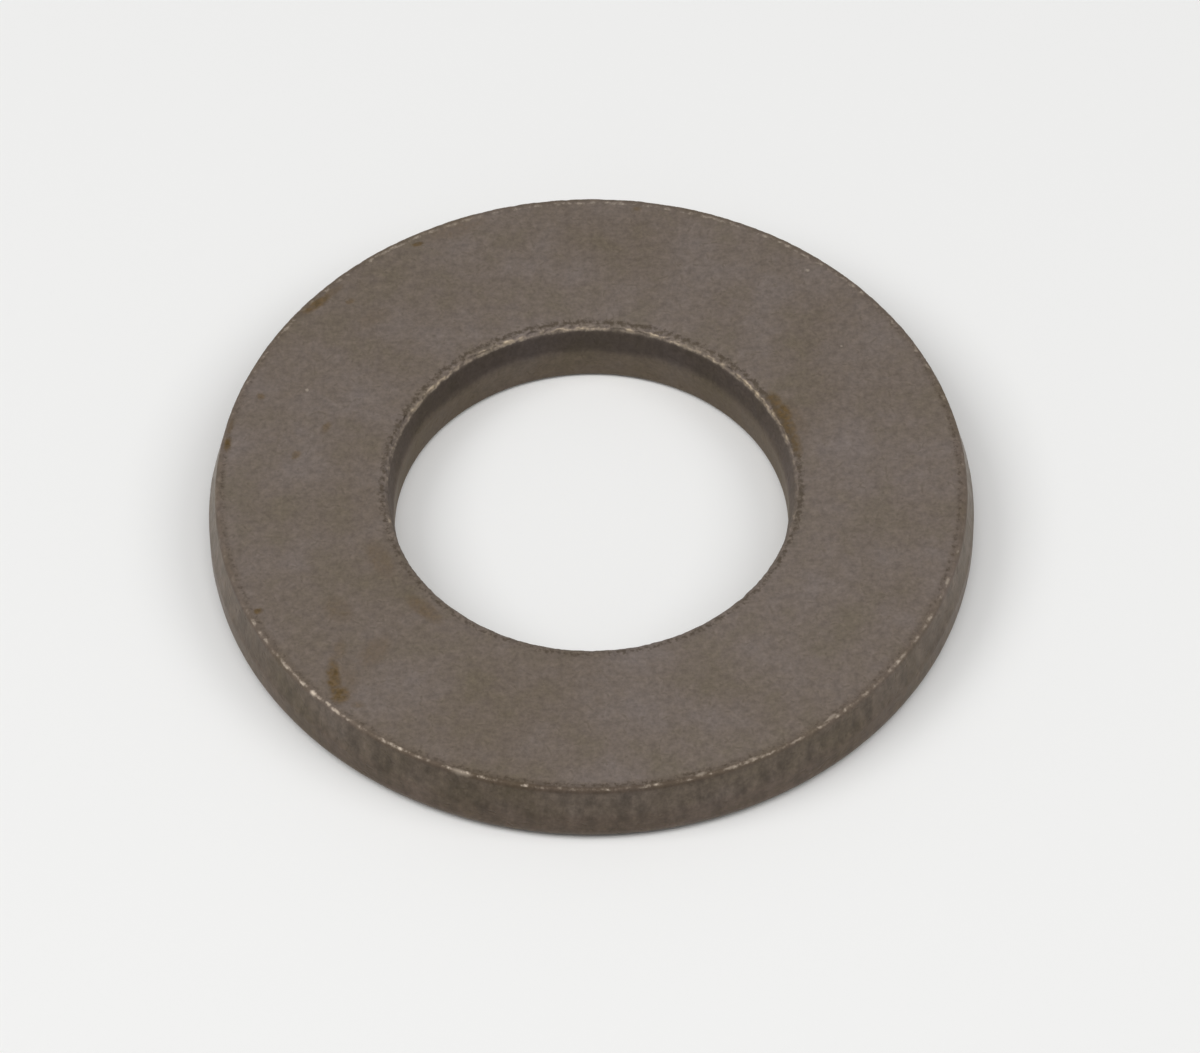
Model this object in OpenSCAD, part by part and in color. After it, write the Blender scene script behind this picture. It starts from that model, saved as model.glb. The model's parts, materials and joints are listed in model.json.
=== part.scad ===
// Heavy flat washer for a 1 inch bolt, blanked and pierced from steel plate.
// It lies on its lower face, the side that the die rolled over. The burr side is up.
// Millimetres. The origin is the middle of the lower face, with +Z along the bore.

/* [Disc] */
// Outside diameter, measured over the smooth sheared land
outer_d = 50.8; // [40:0.1:76]
// Thickness of the plate
thickness = 4.8; // [3.8:0.1:10]

/* [Bore] */
// Diameter of the bore, measured over its smooth sheared land
bore_d = 26.2; // [12:0.1:36]

/* [Outside edge] */
// Radius that the die rolled over, at the lower face
outer_roll_r = 1; // [0.2:0.05:1.3]
// Top of the smooth land, above the lower face
outer_land_h = 2.4; // [1:0.05:3.6]
// How far the torn wall falls in by the upper face
outer_fall = 0.55; // [0.1:0.05:0.9]
// Radius that tumbling gave the upper edge
outer_edge_r = 0.35; // [0.1:0.05:0.5]

/* [Bore edge] */
// Radius that the punch rolled over, at the lower face
bore_roll_r = 0.5; // [0.2:0.05:0.95]
// Top of the smooth land, above the lower face
bore_land_h = 2.55; // [1:0.05:3.6]
// How far the torn wall falls back by the upper face
bore_fall = 0.4; // [0.1:0.05:0.9]
// Radius that tumbling gave the mouth at the upper face
bore_edge_r = 0.3; // [0.1:0.05:0.5]

/* [Hidden] */
$fn = 180;
outer_r = outer_d / 2;
bore_r = bore_d / 2;
// Width of steel between the two lands
ring_w = outer_r - bore_r;
// Past an outline, so that a cut never ends on the edge it trims
pad = 1;

// What a rolled-over lower corner leaves out, for a wall that stands on x = 0 with its steel at -x
module rolled_corner(roll_r) {
    difference() {
        translate([-roll_r, -pad]) square([roll_r + pad, roll_r + pad]);
        translate([-roll_r, roll_r]) circle(r = roll_r);
    }
}

// What tumbling leaves out of the upper corner, where the torn wall leans in from the top of the land
module tumbled_corner(land_h, fall, edge_r) {
    torn_h = thickness - land_h;
    lean = atan(fall / torn_h);
    square_to_wall = [cos(lean), sin(lean)];
    middle = [-fall * (torn_h - edge_r) / torn_h - edge_r / cos(lean), thickness - edge_r];
    difference() {
        polygon([
            middle,
            [middle.x, thickness + pad],
            [pad, thickness + pad],
            middle + (edge_r + pad) * square_to_wall
        ]);
        translate(middle) circle(r = edge_r);
    }
}

// Section of a blanked edge, from the bottom up: rollover, smooth land, torn wall, tumbled corner.
// The land stands on x = 0, and the steel runs to -x past the far side of the ring.
module blanked_edge(roll_r, land_h, fall, edge_r) {
    difference() {
        polygon([
            [-ring_w - pad, 0],
            [0, 0],
            [0, land_h],
            [-fall, thickness],
            [-ring_w - pad, thickness]
        ]);
        rolled_corner(roll_r);
        tumbled_corner(land_h, fall, edge_r);
    }
}

// Half of the ring's section: what the outside edge and the bore edge share
module ring_section() {
    intersection() {
        translate([outer_r, 0])
            blanked_edge(outer_roll_r, outer_land_h, outer_fall, outer_edge_r);
        translate([bore_r, 0]) mirror([1, 0])
            blanked_edge(bore_roll_r, bore_land_h, bore_fall, bore_edge_r);
    }
}

module washer() {
    color("#6F675E") rotate_extrude() ring_section();
}

washer();
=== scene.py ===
# %% [markdown]
# # A heavy flat washer, blanked from steel plate
#
# The real washer is one piece of steel. A press punches the bore and then the disc out of plate, the
# rings are hardened in a furnace, and they are tumbled together in a drum, which knocks off the burrs.
# What is left to look at is small: a dull grey-brown skin from the heat, walls that are smooth below and
# torn above, upper edges that the drum has hammered and rubbed bright, and a little rust.
#
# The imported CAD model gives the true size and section. This notebook dresses it: the same section is
# drawn and turned again with many more points, so that there is something to dent, and then it gets its
# steel skin.

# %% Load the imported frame
import json
import math
from collections import namedtuple

import bmesh
import bpy
from mathutils import Matrix, Vector


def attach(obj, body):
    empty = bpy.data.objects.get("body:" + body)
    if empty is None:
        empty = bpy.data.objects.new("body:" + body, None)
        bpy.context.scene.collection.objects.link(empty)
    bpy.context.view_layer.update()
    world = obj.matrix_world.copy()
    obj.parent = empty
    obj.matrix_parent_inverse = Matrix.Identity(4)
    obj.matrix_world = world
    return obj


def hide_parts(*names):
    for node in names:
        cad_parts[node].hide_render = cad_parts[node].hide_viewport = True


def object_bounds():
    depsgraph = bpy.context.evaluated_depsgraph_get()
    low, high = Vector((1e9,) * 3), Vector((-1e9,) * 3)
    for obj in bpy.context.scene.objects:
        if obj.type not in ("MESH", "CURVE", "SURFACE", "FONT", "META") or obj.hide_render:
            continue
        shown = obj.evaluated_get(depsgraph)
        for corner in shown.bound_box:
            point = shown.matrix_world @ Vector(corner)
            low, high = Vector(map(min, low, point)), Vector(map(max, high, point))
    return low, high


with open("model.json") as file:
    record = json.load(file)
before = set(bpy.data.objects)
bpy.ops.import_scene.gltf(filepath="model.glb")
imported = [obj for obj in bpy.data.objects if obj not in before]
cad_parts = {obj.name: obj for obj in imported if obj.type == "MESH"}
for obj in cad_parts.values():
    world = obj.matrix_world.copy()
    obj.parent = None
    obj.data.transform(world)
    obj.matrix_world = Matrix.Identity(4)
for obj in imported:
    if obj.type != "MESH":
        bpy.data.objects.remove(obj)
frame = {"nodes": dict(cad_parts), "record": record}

MM = 0.001
cad_low, cad_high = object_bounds()
bpy.ops.object.select_all(action="DESELECT")
print("nodes", sorted(frame["nodes"]), "box in mm", [round(side / MM, 2) for side in cad_high - cad_low])

# %% [markdown]
# ## The camera
#
# The washer was photographed from about half a metre away with a long lens, so its far and near halves
# are nearly the same size. A camera can be aimed in three ways: by typing its rotation, by a Track To
# constraint, or by multiplying matrices. Here the look-down angle and the small roll are known, so two
# rotations are multiplied, and the camera is moved back from its aim along its own axis.

# %% Place the camera
camera_aim = Vector((0.56, 0.3, 0.0)) * MM
camera_distance = 549.0 * MM
look_down = math.radians(52.356)
camera_roll = math.radians(-0.47)
lens_mm = 247.087
sensor_mm = 36.0

camera = bpy.data.objects.new("camera", bpy.data.cameras.new("camera"))
bpy.context.collection.objects.link(camera)
camera.data.sensor_fit = "HORIZONTAL"
camera.data.sensor_width = sensor_mm
camera.data.lens = lens_mm
camera.data.clip_start = 10 * MM
turn = Matrix.Rotation(math.pi / 2 - look_down, 4, "X") @ Matrix.Rotation(camera_roll, 4, "Z")
backwards = turn @ Vector((0, 0, 1))
camera.matrix_world = Matrix.Translation(camera_aim + backwards * camera_distance) @ turn
bpy.context.scene.camera = camera
print("camera at", [round(value, 4) for value in camera.matrix_world.translation])

# %% [markdown]
# ## Colours and nodes
#
# Colours are written as sRGB hex values, as a colour picker shows them, but shaders work in linear light,
# so one function turns them. A second one adds a node: each input gets a value, or a link if it is given
# another node's output. With these two a material reads from top to bottom like a recipe.

# %% Two helpers for materials
def linear(hex_colour):
    """An sRGB hex colour as the linear red, green, blue and alpha that a shader takes."""
    channels = [int(hex_colour[start:start + 2], 16) / 255 for start in (1, 3, 5)]
    return [c / 12.92 if c <= 0.04045 else ((c + 0.055) / 1.055) ** 2.4 for c in channels] + [1.0]


def add_node(tree, kind, inputs, **settings):
    """Add a node with its settings. Each input is given a value, or the output that it is linked to."""
    node = tree.nodes.new("ShaderNode" + kind)
    for name, value in settings.items():
        setattr(node, name, value)
    for name, value in inputs.items():
        if isinstance(value, bpy.types.NodeSocket):
            tree.links.new(value, node.inputs[name])
        else:
            node.inputs[name].default_value = value
    return node


def new_material(name):
    """An empty material and its node tree."""
    material = bpy.data.materials.new(name)
    material.use_nodes = True
    material.node_tree.nodes.clear()
    return material, material.node_tree

# %% [markdown]
# ## Floor and light
#
# The washer lies on plain matt white paper under soft lamps. One broad lamp hangs overhead, a little to
# the front, and two stand left and right: they leave the two soft shadows inside the bore. A pale room
# fills in a quarter of the light, so that the shadows stay open. Together they light white paper to about
# its own colour, so a colour in the material comes out about as it is written. The room is seen as white
# paper too, and bare metal mirrors it.

# %% Lay the floor
paper_white = linear("#F0F0EF")
card, tree = new_material("matt_white_card")
card_surface = add_node(tree, "BsdfPrincipled", {"Base Color": paper_white, "Roughness": 0.9, "IOR": 1.45})
add_node(tree, "OutputMaterial", {"Surface": card_surface.outputs[0]})

floor_width = 4000 * MM
bpy.ops.mesh.primitive_plane_add(size=floor_width, location=(0, 0, cad_low.z))
floor = bpy.context.object
floor.name = "floor"
floor.data.materials.append(card)
print("floor", floor_width, "m wide")

# %% Hang the lamps
Lamp = namedtuple("Lamp", "name place width height watts")
lamps = [
    Lamp("top_lamp", (0, -260, 840), 600, 400, 2.41),
    Lamp("left_lamp", (-605, -170, 765), 550, 550, 3.85),
    Lamp("right_lamp", (605, -170, 765), 550, 550, 2.62),
]
for lamp in lamps:
    place = Vector(lamp.place) * MM
    facing = place.to_track_quat("Z", "Y").to_euler()
    bpy.ops.object.light_add(type="AREA", location=place, rotation=facing)
    light = bpy.context.object
    light.name = lamp.name
    light.data.shape = "RECTANGLE"
    light.data.size = lamp.width * MM
    light.data.size_y = lamp.height * MM
    light.data.energy = lamp.watts
print("lamps", [lamp.name for lamp in lamps])

# %% Fill the shadows from all round
fill_strength = 0.25
world = bpy.data.worlds.new("pale_room")
bpy.context.scene.world = world
world.use_nodes = True
tree = world.node_tree
tree.nodes.clear()
rays = add_node(tree, "LightPath", {})
seen = add_node(
    tree, "Math", {0: rays.outputs["Is Camera Ray"], 1: rays.outputs["Is Glossy Ray"]}, operation="MAXIMUM"
)
seen = add_node(
    tree, "Math", {0: seen.outputs[0], 1: rays.outputs["Is Transmission Ray"]}, operation="MAXIMUM"
)
room_light = add_node(tree, "Background", {"Color": linear("#FFFFFF"), "Strength": fill_strength})
room_seen = add_node(tree, "Background", {"Color": paper_white, "Strength": 1.0})
room = add_node(tree, "MixShader", {0: seen.outputs[0], 1: room_light.outputs[0], 2: room_seen.outputs[0]})
add_node(tree, "OutputWorld", {"Surface": room.outputs[0]})
bpy.context.scene.view_settings.view_transform = "Standard"
print("room lights with a strength of", fill_strength)

# %% [markdown]
# ## The section of a blanked edge
#
# Both walls of the washer tell how it was cut. From the bottom up there is a rounded corner that the die
# pulled down, a smooth land that the punch sheared, a torn wall that falls away from the land, and a
# corner that tumbling broke. The outside and the bore have the same four parts with different sizes, so
# one record type holds them, and what follows is done once for each edge.

# %% Name the sizes of the two edges
# The crest is the line rubbed bare, placed in from the corner and down from the face. The trough is the
# darkened band beside it. How far in they lie is given twice, for the whole near half and for the far end,
# with a smooth change between. A width is how far a band reaches from its middle.
Edge = namedtuple(
    "Edge", "wall_r into_steel roll_r land_h fall corner_r "
    "crest_in crest_down crest_width trough_in trough_width"
)
thickness = cad_high.z - cad_low.z
outer_r = (cad_high.x - cad_low.x) / 2
bore_mount = next(mount for mount in frame["record"]["mounts"] if mount["name"] == "bore")
bore_r = bore_mount["dims"]["r_mm"] * MM
rim = Edge(
    outer_r, into_steel=-1, roll_r=1.0 * MM, land_h=2.4 * MM, fall=0.55 * MM, corner_r=0.35 * MM,
    crest_in=(0.11 * MM, 0.45 * MM), crest_down=0.03 * MM, crest_width=0.18 * MM,
    trough_in=(0.42 * MM, 0.3 * MM), trough_width=0.42 * MM
)
bore = Edge(
    bore_r, into_steel=1, roll_r=0.5 * MM, land_h=2.55 * MM, fall=0.4 * MM, corner_r=0.3 * MM,
    crest_in=(0.0, 0.0), crest_down=0.12 * MM, crest_width=0.3 * MM,
    trough_in=(0.36 * MM, 0.48 * MM), trough_width=0.56 * MM
)
print("ring", round((outer_r - bore_r) / MM, 2), "mm wide and", round(thickness / MM, 2), "mm thick")


def top_radius(edge):
    """Radius at which the torn wall would meet the upper face."""
    return edge.wall_r + edge.into_steel * edge.fall

# %% [markdown]
# ## Draw the section
#
# A ring can be made from a cylinder with a hole cut in it, or by turning a section about the axis, as on
# a lathe. Turning suits it best, because everything about the edges is in the section. A plane of the
# ring's width and thickness is stood upright beside the axis. Its face is deleted, so that only the
# outline is left, and its points are then moved, bevelled and subdivided. Points and edges are picked by
# where they are.

# %% Pick points and edges by place
def select(kind, test):
    """Select the verts or edges of the mesh in edit mode whose middle passes test(radius, height)."""
    bpy.ops.mesh.select_mode(type={"verts": "VERT", "edges": "EDGE"}[kind])
    bpy.ops.mesh.select_all(action="DESELECT")
    mesh = bmesh.from_edit_mesh(bpy.context.object.data)
    for item in getattr(mesh, kind):
        middle = item.co if kind == "verts" else (item.verts[0].co + item.verts[1].co) / 2
        if test(math.hypot(middle.x, middle.y), middle.z):
            item.select_set(True)
    bmesh.update_edit_mesh(bpy.context.object.data)


def near(radius, height):
    """A test for what lies within a hundredth of a millimetre of a radius and height."""
    return lambda r, z: math.hypot(r - radius, z - height) < 0.01 * MM


def within(low_r, high_r, low_z, high_z):
    """A test for what lies between two radii and two heights."""
    return lambda r, z: low_r < r < high_r and low_z < z < high_z

# %% Stand the outline up
middle_r = (outer_r + bore_r) / 2
section_middle = Vector((middle_r, 0, thickness / 2))
bpy.ops.mesh.primitive_plane_add(size=1, location=section_middle, rotation=(math.pi / 2, 0, 0))
washer = bpy.context.object
washer.name = "washer_steel"
bpy.ops.object.transform_apply(location=True, rotation=True, scale=True)
bpy.ops.object.mode_set(mode="EDIT")
bpy.ops.mesh.select_all(action="SELECT")
bpy.ops.transform.resize(value=(outer_r - bore_r, 1, thickness), center_override=section_middle)
bpy.ops.mesh.delete(type="ONLY_FACE")
print("outline", round((outer_r - bore_r) / MM, 2), "by", round(thickness / MM, 2), "mm")

# %% Shape the two edges
roll_steps = 6
corner_steps = 6
for edge in (rim, bore):
    select("edges", near(edge.wall_r, thickness / 2))
    bpy.ops.mesh.subdivide(number_cuts=1)
    select("verts", near(edge.wall_r, thickness / 2))
    bpy.ops.transform.translate(value=(0, 0, edge.land_h - thickness / 2))
    select("verts", near(edge.wall_r, thickness))
    bpy.ops.transform.translate(value=(edge.into_steel * edge.fall, 0, 0))
    select("verts", near(edge.wall_r, 0))
    bpy.ops.mesh.bevel(offset=edge.roll_r, segments=roll_steps, affect="VERTICES")
    corner_angle = math.pi / 2 + math.atan(edge.fall / (thickness - edge.land_h))
    select("verts", near(top_radius(edge), thickness))
    bpy.ops.mesh.bevel(
        offset=edge.corner_r / math.tan(corner_angle / 2), segments=corner_steps, affect="VERTICES"
    )
print("outline has", len(bmesh.from_edit_mesh(washer.data).verts), "points")

# %% [markdown]
# The outline has its shape now, but too few points to dent. Relief needs points closer together than the
# dents are wide, about a tenth of a millimetre along the upper edges. The plain middle of the face needs
# hardly any, so each stretch is subdivided by itself. The face is first cut by planes where the worn
# bands beside its edges end.

# %% Give each stretch its points
rim_band = 0.95 * MM
mouth_band = 1.15 * MM
rim_band_r = top_radius(rim) - rim_band
mouth_band_r = top_radius(bore) + mouth_band
rim_corner_end_r = top_radius(rim) - 0.29 * MM
mouth_corner_end_r = top_radius(bore) + 0.26 * MM
tear_middle = (3.2 * MM, 3.8 * MM)  # heights between which both torn walls have the middle of their edge
hair = 0.01 * MM
for cut_r in (rim_band_r, mouth_band_r):
    select("edges", within(bore_r, outer_r, thickness - hair, thickness + hair))
    bpy.ops.mesh.bisect(plane_co=(cut_r, 0, 0), plane_no=(1, 0, 0))

stretches = [
    (within(rim_band_r, rim_corner_end_r, thickness - hair, thickness + hair), 7),
    (within(mouth_corner_end_r, mouth_band_r, thickness - hair, thickness + hair), 8),
    (within(mouth_band_r, rim_band_r, thickness - hair, thickness + hair), 5),
    (within(bore_r, outer_r, -hair, hair), 2),
    (within(outer_r - rim.fall, outer_r - hair, *tear_middle), 11),
    (within(outer_r - hair, outer_r + hair, rim.roll_r + hair, rim.land_h), 5),
    (within(bore_r + hair, bore_r + bore.fall, *tear_middle), 11),
    (within(bore_r - hair, bore_r + hair, bore.roll_r + hair, bore.land_h), 5),
]
for test, cuts in stretches:
    select("edges", test)
    chosen = bpy.context.object.data.total_edge_sel
    bpy.ops.mesh.subdivide(number_cuts=cuts)
    print("stretch of", chosen, "edge cut into", cuts + 1)

# %% [markdown]
# ## Turn it round the axis
#
# The spin tool copies the outline step by step, which is slow for a thousand steps. The Screw modifier
# turns it in one go: with no rise, a screw is a ring. Its last copy lies on its first, so the doubles are
# merged, over a distance far below the spacing of the points. The normals are then recalculated so that
# every face points out.

# %% Turn the outline
bpy.ops.object.mode_set(mode="OBJECT")
turn_steps = 1120
lathe = washer.modifiers.new("lathe", "SCREW")
lathe.angle = 2 * math.pi
lathe.screw_offset = 0
lathe.steps = turn_steps
lathe.render_steps = turn_steps
bpy.ops.object.modifier_apply(modifier=lathe.name)
bpy.ops.object.mode_set(mode="EDIT")
bpy.ops.mesh.select_all(action="SELECT")
bpy.ops.mesh.remove_doubles(threshold=0.01 * MM)
bpy.ops.mesh.normals_make_consistent(inside=False)
bpy.ops.object.mode_set(mode="OBJECT")
bpy.ops.object.shade_smooth()
print("washer has", len(washer.data.vertices), "points and", 2 * len(washer.data.polygons), "triangles")

# %% [markdown]
# ## Mark the zones of the surface
#
# Dents and finishes both follow the section, so each zone is written once, as a weight for every point.
# From the bottom up the zones are the rolled corner, the smooth land, the line where the tear starts, the
# torn wall, the brow at its top, the worn corner with its bare crest, and the darkened trough beside it on
# the face. The weights become vertex groups, which tell the Displace modifier where to work, and
# attributes, which the material reads. They are taken before anything is dented, so they stay with their
# points.
#
# The drum didn't wear the ring evenly, and the brow takes painted shade on the near half only. A few
# stops round the ring say how strong a zone is at each azimuth.

# %% Weigh every point
def ramp(value, start, end):
    """0 before start, 1 after end, and a smooth rise between them. Start may be the larger one."""
    share = min(max((value - start) / (end - start), 0.0), 1.0)
    return share * share * (3 - 2 * share)


def hill(value, middle, half_width):
    """1 at the middle, falling smoothly to 0 half a width away on both sides."""
    return ramp(abs(value - middle), half_width, 0)


def around(azimuth, stops):
    """A value at an azimuth in degrees, blended between the two stops that it lies between."""
    turns = sorted(stops)
    for start, end in zip(turns, turns[1:]):
        if start <= azimuth <= end:
            share = (azimuth - start) / (end - start)
            return stops[start] + share * (stops[end] - stops[start])


def edge_zones(edge, radius, height, azimuth):
    """Weights of one edge's zones at a point of the section."""
    up_the_tear = max(height - edge.land_h, 0) / (thickness - edge.land_h)
    depth = edge.into_steel * (radius - edge.wall_r) - edge.fall * up_the_tear
    from_corner = edge.into_steel * (radius - top_radius(edge))
    on_wall = ramp(depth, 0.32 * MM, 0.08 * MM)
    on_face = ramp(height, thickness - 0.06 * MM, thickness - 0.01 * MM)
    to_the_far_end = max(math.sin(math.radians(azimuth)), 0)
    crest_in, trough_in = [
        near_in + (far_in - near_in) * to_the_far_end
        for near_in, far_in in (edge.crest_in, edge.trough_in)
    ]
    off_crest = math.hypot(from_corner - crest_in, height - thickness + edge.crest_down)
    torn = ramp(height, edge.land_h - 0.25 * MM, edge.land_h + 0.55 * MM)
    below_the_corner = ramp(height, thickness - 0.15 * MM, thickness - 0.5 * MM)
    round_the_corner = ramp(from_corner, 0.36 * MM, 0.2 * MM)
    near_the_top = ramp(height, thickness - 0.55 * MM, thickness - 0.25 * MM)
    near_the_bottom = ramp(height, 0.9 * edge.roll_r, 0.3 * edge.roll_r)
    return {
        "tear": on_wall * torn * below_the_corner,
        "tear_line": on_wall * hill(height, edge.land_h, 1.3 * MM),
        "land": on_wall * (1 - torn),
        "roll": ramp(depth, 1.3 * edge.roll_r, 0.8 * edge.roll_r) * near_the_bottom,
        "corner": ramp(math.hypot(from_corner, height - thickness), 0.42 * MM, 0.12 * MM),
        "brow": round_the_corner * near_the_top,
        "crest": ramp(off_crest, edge.crest_width, 0.3 * edge.crest_width),
        "trough": on_face * hill(from_corner, trough_in, edge.trough_width),
    }


# %% Say how strong each zone is round the ring
# Azimuth in degrees, counted from +X towards +Y, and the strength there
strengths = {
    "rim_crest": {
        0: 0.15, 30: 0.35, 60: 0.45, 120: 0.5, 150: 0.4, 170: 0.12, 195: 0.12, 210: 0.5, 225: 0.62,
        240: 0.55, 252: 0.45, 258: 0.3, 281: 0.25, 287: 0.4, 300: 0.5, 320: 0.45, 334: 0.45, 340: 0.2,
        360: 0.15,
    },
    # The brow's stops put painted shade on the near half, where it dims the lamps' highlight on the corner
    "rim_brow": {
        0: 0.0, 200: 0.0, 225: 0.15, 245: 0.65, 258: 1.0, 281: 1.0, 295: 0.6, 315: 0.25, 340: 0.0, 360: 0.0,
    },
    "bore_crest": {
        0: 0.35, 12: 0.8, 40: 1.3, 70: 1.05, 110: 1.05, 135: 1.3, 158: 0.9, 172: 0.5, 185: 0.35, 205: 0.1,
        340: 0.1, 360: 0.35,
    },
    "rim_trough": {
        0: 0.7, 30: 0.6, 55: 0.28, 125: 0.28, 160: 0.5, 180: 0.62, 215: 0.56, 240: 0.56, 258: 0.8,
        281: 0.8, 300: 0.56, 330: 0.6, 360: 0.7,
    },
    "bore_trough": {
        0: 1.0, 12: 1.0, 24: 1.35, 36: 1.0, 60: 0.95, 120: 0.95, 180: 0.85, 230: 0.75, 310: 0.75, 360: 1.0,
    },
    "bore_tear": {
        0: 0.55, 35: 0.9, 60: 1.0, 130: 1.0, 160: 0.85, 180: 0.7, 270: 0.7, 330: 0.5, 360: 0.55,
    },
    "bore_corner": {0: 0.6, 30: 1.0, 160: 1.0, 200: 0.5, 230: 0.2, 310: 0.2, 345: 0.5, 360: 0.6},
}
print("uneven zones", sorted(strengths))

# %% Give the weights to the points
places = [
    (math.hypot(v.co.x, v.co.y), v.co.z, math.degrees(math.atan2(v.co.y, v.co.x)) % 360)
    for v in washer.data.vertices
]
zones = {}
for edge_name, edge in (("rim", rim), ("bore", bore)):
    weights = [edge_zones(edge, *place) for place in places]
    for zone in weights[0]:
        zones[f"{edge_name}_{zone}"] = [weight[zone] for weight in weights]
for name, stops in strengths.items():
    for index, (radius, height, azimuth) in enumerate(places):
        if zones[name][index] > 0:
            zones[name][index] *= around(azimuth, stops)

least_weight = 0.01
for name, weights in zones.items():
    group = washer.vertex_groups.new(name=name)
    held = [index for index, weight in enumerate(weights) if weight > least_weight]
    for index in held:
        group.add([index], weights[index], "REPLACE")
    print(name, "holds", len(held), "points")

# %% [markdown]
# ## Dent it
#
# Tearing and tumbling leave relief of a few hundredths of a millimetre up to three tenths. Sculpting it
# by hand would take days and come out different each time, and a bump map would leave the outline of the
# bore perfectly round. The Displace modifier moves real points by a procedural texture, so the outline
# breaks up too. Each pass below is one thing that happened to the steel. Strengths are negative, because
# steel is only ever lost. The one exception is the line where the tear starts, which wanders up and down
# about its height.

# %% One pass of relief
def dent(group, depth, size, stretch=1.0, contrast=1.0, brightness=1.0, direction="NORMAL", level=0.0,
         **settings):
    """Press a texture of that grain size, stretched up the wall, into the points of a group."""
    texture = bpy.data.textures.new(group, type="CLOUDS")
    texture.noise_scale = size
    texture.contrast = contrast
    texture.intensity = brightness
    texture.use_clamp = True
    for name, value in settings.items():
        setattr(texture, name, value)
    space = bpy.data.objects.new(group + "_space", None)
    bpy.context.collection.objects.link(space)
    space.scale.z = stretch
    bpy.context.view_layer.update()
    modifier = washer.modifiers.new(group, "DISPLACE")
    modifier.vertex_group = group
    modifier.texture = texture
    modifier.texture_coords = "OBJECT"
    modifier.texture_coords_object = space
    modifier.direction = direction
    modifier.strength = -depth
    modifier.mid_level = level
    bpy.context.view_layer.objects.active = washer
    bpy.ops.object.modifier_apply(modifier=modifier.name)
    bpy.data.objects.remove(space)
    bpy.data.textures.remove(texture)

# %% Tear the walls
undented = [vertex.co.copy() for vertex in washer.data.vertices]
dent("bore_tear_line", 0.7 * MM, size=5 * MM, direction="Z", level=0.5, noise_depth=3)
dent("rim_tear_line", 0.9 * MM, size=7 * MM, direction="Z", level=0.5, noise_depth=3)
dent("bore_tear", 0.10 * MM, size=0.7 * MM, stretch=2.5, noise_depth=3, noise_type="HARD_NOISE")
dent("rim_tear", 0.05 * MM, size=0.9 * MM, stretch=2.5, noise_depth=3)
dent("rim_land", 0.02 * MM, size=2.5 * MM, noise_depth=2)
dent("bore_land", 0.012 * MM, size=1.5 * MM, stretch=4, noise_depth=2)
farthest = max((vertex.co - before).length for vertex, before in zip(washer.data.vertices, undented))
print("points of the walls moved up to", round(farthest / MM, 2), "mm")

# %% [markdown]
# The drum hammers the two upper corners hardest, because they stick out. The mouth of the bore comes out
# ragged: lumps of about half a millimetre with chipped hollows between them, and beside them a shallow
# trough. The outer corner gets finer flats and nicks.

# %% Hammer the corners
dent("bore_corner", 0.16 * MM, size=1.6 * MM, noise_depth=2, contrast=2.2, brightness=0.8)
dent("bore_corner", 0.2 * MM, size=0.5 * MM, noise_depth=2, contrast=2.4, brightness=0.8)
dent("bore_trough", 0.08 * MM, size=0.45 * MM, noise_depth=2, contrast=1.8, direction="Z")
dent("rim_corner", 0.03 * MM, size=2.2 * MM, noise_depth=2, contrast=2.2, brightness=0.75)
dent("rim_corner", 0.035 * MM, size=0.45 * MM, noise_depth=2, contrast=2.4, brightness=0.75)
dent("rim_trough", 0.04 * MM, size=0.45 * MM, noise_depth=2, contrast=1.8, direction="Z")
top_of_steel = max(vertex.co.z for vertex in washer.data.vertices)
print("highest point now at", round(top_of_steel / MM, 3), "mm")

# %% Keep where the steel is hollow
hollow = [(vertex.co - before).length for vertex, before in zip(washer.data.vertices, undented)]
deepest = {
    name: max(depth for depth, weight in zip(hollow, zones[name]) if weight > 0.5)
    for name in ("bore_corner", "rim_corner")
}
hollow_unit = 0.1 * MM
zones["hollow"] = [depth / hollow_unit for depth in hollow]
washer.vertex_groups.clear()
for name, weights in zones.items():
    attribute = washer.data.attributes.new(name, "FLOAT", "POINT")
    attribute.data.foreach_set("value", weights)
print("deepest dents in mm", {name: round(depth / MM, 3) for name, depth in deepest.items()})

# %% [markdown]
# ## The steel's skin
#
# Hardening leaves a thin tight oxide on the steel: warm dark grey, with drifts of olive and of purple
# where the film is a little thicker or thinner. Tumbling mattes it with countless tiny dents. Such a skin
# is part metal and part stone to the eye, so it is shaded as a rather rough, part metallic surface. A
# photograph could be wrapped round it, but noise placed in millimetres has no seams and looks the same
# from all sides.

# %% Start the skin with its colour drifts
FACTOR, COLOUR_A, COLOUR_B, COLOUR_OUT = 0, 6, 7, 2  # a Mix node's sockets for colours
# Tempered oxide on steel: a thin tight film, mattened by the drum, dull warm grey with a soft sheen
skin, tree = new_material("tempered_oxide_steel")
place = add_node(tree, "TexCoord", {}).outputs["Object"]
zone = {name: add_node(tree, "Attribute", {}, attribute_name=name).outputs["Fac"] for name in zones}

drift_size = 5 * MM
drift = add_node(
    tree, "TexNoise", {"Vector": place, "Scale": 1 / drift_size, "Detail": 6.0, "Roughness": 0.68}
)
drift_ramp = add_node(tree, "ValToRGB", {"Fac": drift.outputs["Fac"]})
olive, purple = drift_ramp.color_ramp.elements
olive.position = 0.32
olive.color = linear("#675E53")
purple.position = 0.7
purple.color = linear("#6F6662")
plain = drift_ramp.color_ramp.elements.new(0.5)
plain.color = linear("#6B615A")
colour = drift_ramp.outputs["Color"]
print("drifts of", round(drift_size / MM), "mm")

# %% [markdown]
# ## Grain and scuffs
#
# The drum's grit leaves dents of about a tenth of a millimetre, and where two rings met corner to face
# there is a short scuff. Real grit is finer than a pixel here, so the grain is drawn as fine as still
# shows, with a coarser mottle over it and soft clouds of heat colour a centimetre wide. The edges between
# the cells of a Voronoi texture are straight and short, so a few of them, picked by the mottle, serve as
# scuffs.

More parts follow.
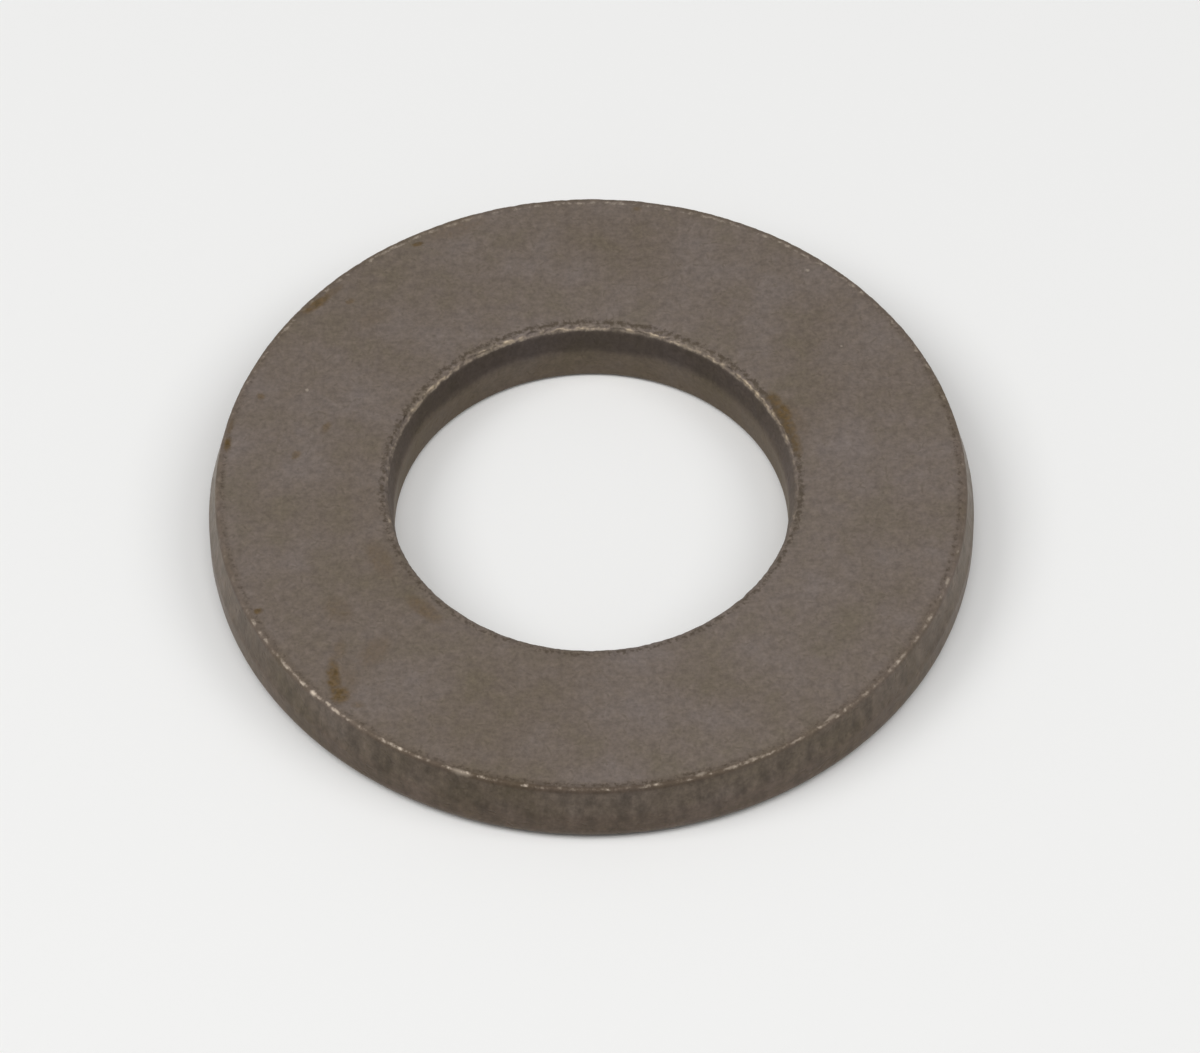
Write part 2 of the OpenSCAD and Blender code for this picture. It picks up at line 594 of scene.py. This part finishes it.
# %% Fine grain
noise_low = 0.3  # nearly all of a noise's values lie between these two
noise_high = 0.7
grain_size = 0.24 * MM
grain_contrast = 0.13
grain = add_node(
    tree, "TexNoise", {"Vector": place, "Scale": 1 / grain_size, "Detail": 3.0, "Roughness": 0.55}
)
grain_tone = add_node(
    tree, "MapRange",
    {
        "Value": grain.outputs["Fac"], "From Min": noise_low, "From Max": noise_high,
        "To Min": 1 - grain_contrast, "To Max": 1 + grain_contrast,
    }
)
mottle_size = 0.6 * MM
mottle_contrast = 0.16
mottle = add_node(tree, "TexNoise", {"Vector": place, "Scale": 1 / mottle_size, "Detail": 2.0})
mottle_tone = add_node(
    tree, "MapRange",
    {
        "Value": mottle.outputs["Fac"], "From Min": noise_low, "From Max": noise_high,
        "To Min": 1 - mottle_contrast, "To Max": 1 + mottle_contrast,
    }
)
tone = add_node(
    tree, "Math", {0: grain_tone.outputs["Result"], 1: mottle_tone.outputs["Result"]}, operation="MULTIPLY"
)
colour = add_node(
    tree, "VectorMath", {0: colour, "Scale": tone.outputs["Value"]}, operation="SCALE"
).outputs["Vector"]
print("grain of", round(grain_size / MM, 2), "mm and mottle of", round(mottle_size / MM, 2), "mm")

# %% Soft clouds of heat colour
cloud_size = 10 * MM
clouds = add_node(tree, "TexNoise", {"Vector": place, "Scale": 1 / cloud_size, "Detail": 1.0})
cloud_tint = add_node(tree, "ValToRGB", {"Fac": clouds.outputs["Fac"]})
cloud_tint.color_ramp.elements[0].position = 0.35
cloud_tint.color_ramp.elements[0].color = linear("#F5F3EE")
cloud_tint.color_ramp.elements[1].position = 0.65
cloud_tint.color_ramp.elements[1].color = linear("#FFFFFF")
clouded = add_node(
    tree, "Mix", {FACTOR: 1.0, COLOUR_A: colour, COLOUR_B: cloud_tint.outputs["Color"]}, data_type="RGBA",
    blend_type="MULTIPLY"
)
colour = clouded.outputs[COLOUR_OUT]
print("clouds of", round(cloud_size / MM), "mm")

# %% Scuffs
scuff_spacing = 1.6 * MM
scuff_width = 0.14 * MM
scuff_strength = 0.35
scuff_lines = add_node(
    tree, "TexVoronoi", {"Vector": place, "Scale": 1 / scuff_spacing}, feature="DISTANCE_TO_EDGE"
)
scuff = add_node(
    tree, "MapRange",
    {"Value": scuff_lines.outputs["Distance"], "From Min": scuff_width / scuff_spacing, "From Max": 0.0},
    interpolation_type="SMOOTHSTEP"
)
scuff_patches = add_node(
    tree, "MapRange", {"Value": mottle.outputs["Fac"], "From Min": 0.52, "From Max": 0.66},
    interpolation_type="SMOOTHSTEP"
)
scuff = add_node(
    tree, "Math", {0: scuff.outputs["Result"], 1: scuff_patches.outputs["Result"]}, operation="MULTIPLY"
).outputs["Value"]
scuff_dark = add_node(tree, "Math", {0: scuff, 1: scuff_strength}, operation="MULTIPLY")
scuffed = add_node(
    tree, "Mix", {FACTOR: scuff_dark.outputs["Value"], COLOUR_A: colour, COLOUR_B: linear("#453E34")},
    data_type="RGBA"
)
colour = scuffed.outputs[COLOUR_OUT]
print("scuffs", round(scuff_width / MM, 2), "mm to a side")

# %% [markdown]
# ## Walls and troughs
#
# The zones' attributes now darken the skin by multiplying it, so that its drifts and grain stay. The torn
# wall in the bore is rough and keeps soot from the furnace, so it is darkest. The bore's land was
# burnished by the punch and is nearly as pale as the face. The outer wall is a little browner and
# blotched, because the rings rolled on it in the drum. Its rolled lower corner is darkened as painted
# shade, where the wall turns under towards the floor. On the near half the brow below the outer corner is
# darkened as painted shade too, which dims the highlight that the lamps leave there. The troughs beside
# the corners are darkened in a band. A painted stroke would have a clean edge, so a fine noise is taken
# from the trough's weight, which leaves a ragged band.

# %% Shade the walls
wall_tints = {
    "bore_tear": "#BBB9B9",
    "bore_land": "#E4E0D3",
    "rim_tear": "#DDDAD3",
    "rim_land": "#D1C8C0",
    "rim_corner": "#F4F0EA",
    # Painted shade: darkens the brow on the near half, dimming the lamps' highlight there
    "rim_brow": "#CDC8C2",
    # Painted shade: darkens the rolled lower corner where the wall turns under towards the floor
    "rim_roll": "#E0DBD3",
    "rim_trough": "#F0EDE8",
}
for name, tint in wall_tints.items():
    shade = add_node(
        tree, "Mix", {FACTOR: zone[name], COLOUR_A: colour, COLOUR_B: linear(tint)}, data_type="RGBA",
        blend_type="MULTIPLY"
    )
    colour = shade.outputs[COLOUR_OUT]
print("shaded zones", len(wall_tints))

# %% Blotch the outer wall
blotch_size = 0.8 * MM
blotch_shape = 0.45  # width of a blotch as a share of its height
upright = add_node(tree, "Mapping", {"Vector": place, "Scale": (1, 1, blotch_shape)})
blotch = add_node(
    tree, "TexNoise",
    {"Vector": upright.outputs["Vector"], "Scale": 1 / blotch_size, "Detail": 4.0, "Roughness": 0.6}
)
blotch_change = add_node(
    tree, "MapRange",
    {
        "Value": blotch.outputs["Fac"], "From Min": noise_low, "From Max": noise_high,
        "To Min": -0.36, "To Max": 0.32,
    }
)
rim_wall = add_node(
    tree, "Math", {0: zone["rim_tear"], 1: zone["rim_land"]}, operation="ADD", use_clamp=True
)
blotch_tone = add_node(
    tree, "Math", {0: rim_wall.outputs["Value"], 1: blotch_change.outputs["Result"], 2: 1.0},
    operation="MULTIPLY_ADD"
)
colour = add_node(
    tree, "VectorMath", {0: colour, "Scale": blotch_tone.outputs["Value"]}, operation="SCALE"
).outputs["Vector"]
print("blotches", round(blotch_size / MM, 1), "by", round(blotch_size / blotch_shape / MM, 1), "mm")

# %% Darken the troughs
ragged_size = 0.32 * MM
ragged = add_node(
    tree, "TexNoise", {"Vector": place, "Scale": 1 / ragged_size, "Detail": 3.0, "Roughness": 0.62}
)
trough = add_node(tree, "Math", {0: zone["rim_trough"], 1: zone["bore_trough"]}, operation="MAXIMUM")
trough_dark_edge = add_node(
    tree, "MapRange",
    {"Value": ragged.outputs["Fac"], "From Min": 0.36, "From Max": 0.64, "To Min": 0.85, "To Max": 0.05}
)
trough_dark = add_node(
    tree, "Math", {0: trough.outputs["Value"], 1: trough_dark_edge.outputs["Result"]}, operation="SUBTRACT"
)
trough_dark = add_node(
    tree, "MapRange", {"Value": trough_dark.outputs["Value"], "From Min": 0.0, "From Max": 0.75, "To Max": 0.8},
    interpolation_type="SMOOTHSTEP"
).outputs["Result"]
trough_darkened = add_node(
    tree, "Mix", {FACTOR: trough_dark, COLOUR_A: colour, COLOUR_B: linear("#433A30")}, data_type="RGBA"
)
colour = trough_darkened.outputs[COLOUR_OUT]
print("dirt frayed over", round(ragged_size / MM, 2), "mm")

# %% [markdown]
# ## Marks that have a place
#
# Some marks are in one place only: nicks down to bare steel, and spots of rust. They could be painted by
# hand as vertex colours, but the middle of the face has too few points for that. Here each mark is an
# ellipse with a place, a length, a width and a turn on the face. A Mapping node of type Texture turns the
# mark's own frame onto it, and coordinates that a noise has pushed about fray its outline.

# %% A share for a list of marks
Mark = namedtuple("Mark", "x y length width turn strength")  # millimetres and degrees on the upper face
mark_height = 0.35  # how far a mark reaches up and down, in millimetres
mark_core = 0.5  # share of its size inside which a mark has its full strength
mark_fringe = 1.35  # share of its size past which nothing of it shows
wander_size = 0.6 * MM
wander_reach = 0.5 * MM
wander = add_node(
    tree, "TexNoise", {"Vector": place, "Scale": 1 / wander_size, "Detail": 4.0, "Roughness": 0.65}
)
wander_centred = add_node(
    tree, "VectorMath", {0: wander.outputs["Color"], 1: (0.5, 0.5, 0.5)}, operation="SUBTRACT"
)
wandered = add_node(
    tree, "VectorMath", {0: wander_centred.outputs["Vector"], 1: (wander_reach,) * 3, 2: place},
    operation="MULTIPLY_ADD"
).outputs["Vector"]


def share_of_marks(marks):
    """How strongly the nearest mark shows at each place of the skin."""
    strongest = 0.0
    for mark in marks:
        own_frame = add_node(
            tree, "Mapping", {
                "Vector": wandered,
                "Location": Vector((mark.x, mark.y, thickness / MM)) * MM,
                "Rotation": (0, 0, math.radians(mark.turn)),
                "Scale": Vector((mark.length / 2, mark.width / 2, mark_height)) * MM,
            }, vector_type="TEXTURE"
        )
        from_middle = add_node(tree, "VectorMath", {0: own_frame.outputs["Vector"]}, operation="LENGTH")
        share = add_node(
            tree, "MapRange",
            {
                "Value": from_middle.outputs["Value"], "From Min": mark_fringe, "From Max": mark_core,
                "To Max": mark.strength,
            }, interpolation_type="SMOOTHSTEP"
        )
        strongest = add_node(
            tree, "Math", {0: strongest, 1: share.outputs["Result"]}, operation="MAXIMUM"
        ).outputs["Value"]
    return strongest

# %% [markdown]
# ## Bare steel on the corners
#
# Where rings knock together the oxide is gone and pale steel shows. It shows on what stands proud, so the
# crest of each corner is bare, except in its dents. A noise is added to the crest's weight before it is
# cut off, which breaks the line into dashes that are longer and thicker where the wear is strong.

# %% Rub the corners bare
crest = add_node(tree, "Math", {0: zone["rim_crest"], 1: zone["bore_crest"]}, operation="MAXIMUM")
fleck_size = 0.6 * MM
fleck_spread = 4.0  # how much the noise counts beside the crest's weight
fleck_middle = fleck_spread / 2
flecks = add_node(
    tree, "TexNoise", {"Vector": place, "Scale": 1 / fleck_size, "Detail": 3.0, "Roughness": 0.65}
)
flecked_crest = add_node(
    tree, "Math", {0: flecks.outputs["Fac"], 1: fleck_spread, 2: crest.outputs["Value"]},
    operation="MULTIPLY_ADD"
)
dashes = add_node(
    tree, "MapRange",
    {
        "Value": flecked_crest.outputs["Value"],
        "From Min": fleck_middle + 0.2,
        "From Max": fleck_middle + 1.5,
    }, interpolation_type="SMOOTHSTEP"
)
on_crest = add_node(tree, "MapRange", {"Value": crest.outputs["Value"], "From Min": 0.02, "From Max": 0.2})
proud = add_node(tree, "MapRange", {"Value": zone["hollow"], "From Min": 1.6, "From Max": 0.2})
rubbed = add_node(
    tree, "Math", {0: dashes.outputs["Result"], 1: on_crest.outputs["Result"]}, operation="MULTIPLY"
)
rubbed = add_node(
    tree, "Math", {0: rubbed.outputs["Value"], 1: proud.outputs["Result"]}, operation="MULTIPLY"
)
print("flecks of", round(fleck_size / MM, 1), "mm")

# %% Nick the rim and the face
nicks = [
    Mark(-8.53, -23.3, 1.4, 0.45, -20, 0.42),
    Mark(-18.15, -16.85, 0.6, 0.3, -47, 0.9),
    Mark(-17.2, -17.7, 0.5, 0.2, -44, 0.7),
    Mark(6.9, -23.65, 0.7, 0.22, 16, 0.4),
    Mark(8.8, -23.05, 0.9, 0.17, 21, 0.36),
    Mark(10.3, -22.4, 0.8, 0.16, 25, 0.34),
    Mark(13.1, -21.0, 0.9, 0.16, 32, 0.36),
    Mark(15.4, -19.2, 1.2, 0.17, 39, 0.42),
    Mark(23.35, -8.15, 0.5, 0.25, 71, 0.6),
    # Three long streaks end to end, where the left of the rim is rubbed pale
    Mark(-24.85, 3.6, 4.4, 0.34, 82, 0.3),
    Mark(-24.95, -0.4, 4.8, 0.34, 91, 0.4),
    Mark(-24.6, -4.6, 4.2, 0.34, 100, 0.3),
    # Three specks on the face
    Mark(-18.95, 8.3, 0.25, 0.2, 0, 0.6),
    Mark(14.7, 18.3, 0.25, 0.2, 0, 0.6),
    Mark(16.8, 11.7, 0.2, 0.2, 0, 0.5),
]
nicked = share_of_marks(nicks)
bare = add_node(
    tree, "Math", {0: rubbed.outputs["Value"], 1: nicked}, operation="MAXIMUM"
).outputs["Value"]
bare_tint = add_node(
    tree, "Mix", {FACTOR: zone["bore_corner"], COLOUR_A: linear("#A09588"), COLOUR_B: linear("#9A8C79")},
    data_type="RGBA"
)
bared = add_node(
    tree, "Mix", {FACTOR: bare, COLOUR_A: colour, COLOUR_B: bare_tint.outputs[COLOUR_OUT]}, data_type="RGBA"
)
colour = bared.outputs[COLOUR_OUT]
print("nicks", len(nicks))

# %% [markdown]
# ## Rust
#
# Damp has started rust in a few places: an L of brown beside the rim, a streak along it, a stain at the
# mouth of the bore, and some spots. A stain has a core and a faint halo, so the large ones are two or
# more marks that overlap. Rust grows over bare steel first, so it is laid over the nicks and crests.

# %% Place the rust
rust_marks = [
    # The L beside the rim, and the haze round it
    Mark(-16.8, -15.8, 3.4, 1.0, 95, 1.0),
    Mark(-16.35, -17.1, 1.5, 1.2, 70, 1.0),
    Mark(-16.3, -16.2, 3.8, 2.4, 95, 0.25),
    Mark(-15.3, -17.8, 1.0, 0.6, 0, 0.4),
    Mark(-16.5, -13.4, 1.8, 0.9, 80, 0.28),
    Mark(-14.2, -13.6, 3.0, 1.6, 60, 0.3),
    # The streak near the rim
    Mark(-18.4, 15.7, 2.6, 0.75, 42, 0.9),
    Mark(-17.3, 16.8, 1.6, 0.5, 42, 0.45),
    # Spots on the rim and the face
    Mark(-16.1, 15.95, 0.6, 0.4, 20, 0.5),
    Mark(-24.15, 3.75, 1.2, 0.5, 82, 1.0),
    Mark(-24.0, 5.2, 1.3, 0.35, 78, 0.5),
    Mark(-11.6, 20.9, 0.8, 0.45, 15, 1.0),
    Mark(-9.0, 22.3, 4.5, 1.6, 25, 0.25),
    Mark(3.3, 23.85, 0.6, 0.4, 0, 0.45),
    Mark(-22.0, 7.75, 0.6, 0.5, 0, 0.6),
    Mark(-19.57, 2.8, 0.8, 0.6, 60, 0.6),
    Mark(-21.85, -10.15, 0.6, 0.5, 0, 0.9),
    # The stain at the mouth of the bore
    Mark(12.3, 7.1, 1.6, 0.9, 120, 0.8),
    Mark(12.85, 6.05, 1.8, 1.1, 114, 1.0),
    Mark(13.25, 4.9, 1.7, 0.9, 108, 0.85),
    Mark(13.65, 3.5, 2.4, 0.7, 99, 0.6),
    Mark(13.5, 5.6, 3.4, 1.5, 112, 0.25),
    # Faint hazes
    Mark(-13.9, -6.0, 3.4, 1.5, 115, 0.3),
    Mark(-11.0, -10.1, 3.0, 1.2, 138, 0.5),
    Mark(-16.6, -10.1, 2.4, 1.8, 130, 0.25),
    Mark(-17.6, 5.1, 1.1, 0.55, 60, 0.5),
    Mark(-14.6, 14.5, 2.4, 1.2, 40, 0.15),
]
rust_share = share_of_marks(rust_marks)
rust_grain = add_node(
    tree, "MapRange", {"Value": mottle.outputs["Fac"], "From Min": 0.3, "From Max": 0.58, "To Min": 0.5}
)
rust = add_node(
    tree, "Math", {0: rust_share, 1: rust_grain.outputs["Result"]}, operation="MULTIPLY"
).outputs["Value"]
rust_ramp = add_node(tree, "ValToRGB", {"Fac": ragged.outputs["Fac"]})
rust_ramp.color_ramp.elements[0].position = 0.35
rust_ramp.color_ramp.elements[0].color = linear("#4C3E28")
rust_ramp.color_ramp.elements[1].position = 0.65
rust_ramp.color_ramp.elements[1].color = linear("#645034")
rusty = add_node(
    tree, "Mix", {FACTOR: rust, COLOUR_A: colour, COLOUR_B: rust_ramp.outputs["Color"]}, data_type="RGBA"
)
colour = rusty.outputs[COLOUR_OUT]
print("rust marks", len(rust_marks))

# %% [markdown]
# ## Finish the skin
#
# Metal, roughness and bump follow the same shares. The oxide is about a third metal to the eye, bare
# steel is mostly metal and smoother, and rust is no metal and dull. In the bore the torn wall is rougher
# than the land; the outer wall was rolled smooth in the drum. The bump's distances are depths of a
# hundredth or two of a millimetre. The oxide stays warm where light grazes it, which Specular Tint gives.

# %% Metal
oxide_metal = 0.35
bare_metal = 0.75
metal = add_node(tree, "MapRange", {"Value": bare, "To Min": oxide_metal, "To Max": bare_metal})
unrusted = add_node(tree, "Math", {0: 1.0, 1: rust}, operation="SUBTRACT")
metal = add_node(
    tree, "Math", {0: metal.outputs["Result"], 1: unrusted.outputs["Value"]}, operation="MULTIPLY"
)
print("metal share", oxide_metal, "under the oxide and", bare_metal, "where it is bare")

# %% Roughness
oxide_rough = (0.56, 0.66)
rough = add_node(
    tree, "MapRange",
    {
        "Value": mottle.outputs["Fac"], "From Min": noise_low, "From Max": noise_high,
        "To Min": oxide_rough[0], "To Max": oxide_rough[1],
    }
).outputs["Result"]
rough_changes = [
    (zone["bore_tear"], 0.2),
    (zone["bore_land"], -0.12),
    (zone["rim_tear"], -0.28),
    (zone["rim_land"], -0.26),
    (zone["rim_trough"], 0.15),
    (rust, 0.25),
    (bare, -0.15),
]
for share, change in rough_changes:
    rough = add_node(
        tree, "Math", {0: share, 1: change, 2: rough}, operation="MULTIPLY_ADD"
    ).outputs["Value"]
print("roughness of the oxide", oxide_rough)

# %% Bump and the finished surface
grain_depth = 0.012 * MM
mottle_depth = 0.02 * MM
scuff_depth = 0.015 * MM
bumped = add_node(tree, "Bump", {"Height": grain.outputs["Fac"], "Distance": grain_depth})
bumped = add_node(
    tree, "Bump",
    {"Height": mottle.outputs["Fac"], "Distance": mottle_depth, "Normal": bumped.outputs["Normal"]}
)
bumped = add_node(
    tree, "Bump", {"Height": scuff, "Distance": scuff_depth, "Normal": bumped.outputs["Normal"]},
    invert=True
)
surface = add_node(
    tree, "BsdfPrincipled",
    {
        "Base Color": colour, "Metallic": metal.outputs["Value"], "Roughness": rough,
        "Specular Tint": linear("#D9C9B4"), "Normal": bumped.outputs["Normal"],
    }
)
add_node(tree, "OutputMaterial", {"Surface": surface.outputs[0]})
washer.data.materials.append(skin)
print("skin has", len(tree.nodes), "nodes")

# %% [markdown]
# ## Hand it to the frame
#
# The washer rides on the only body there is and stands for the plain CAD solid, which is then hidden.

# %% Join the frame
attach(washer, "root")
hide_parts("washer")
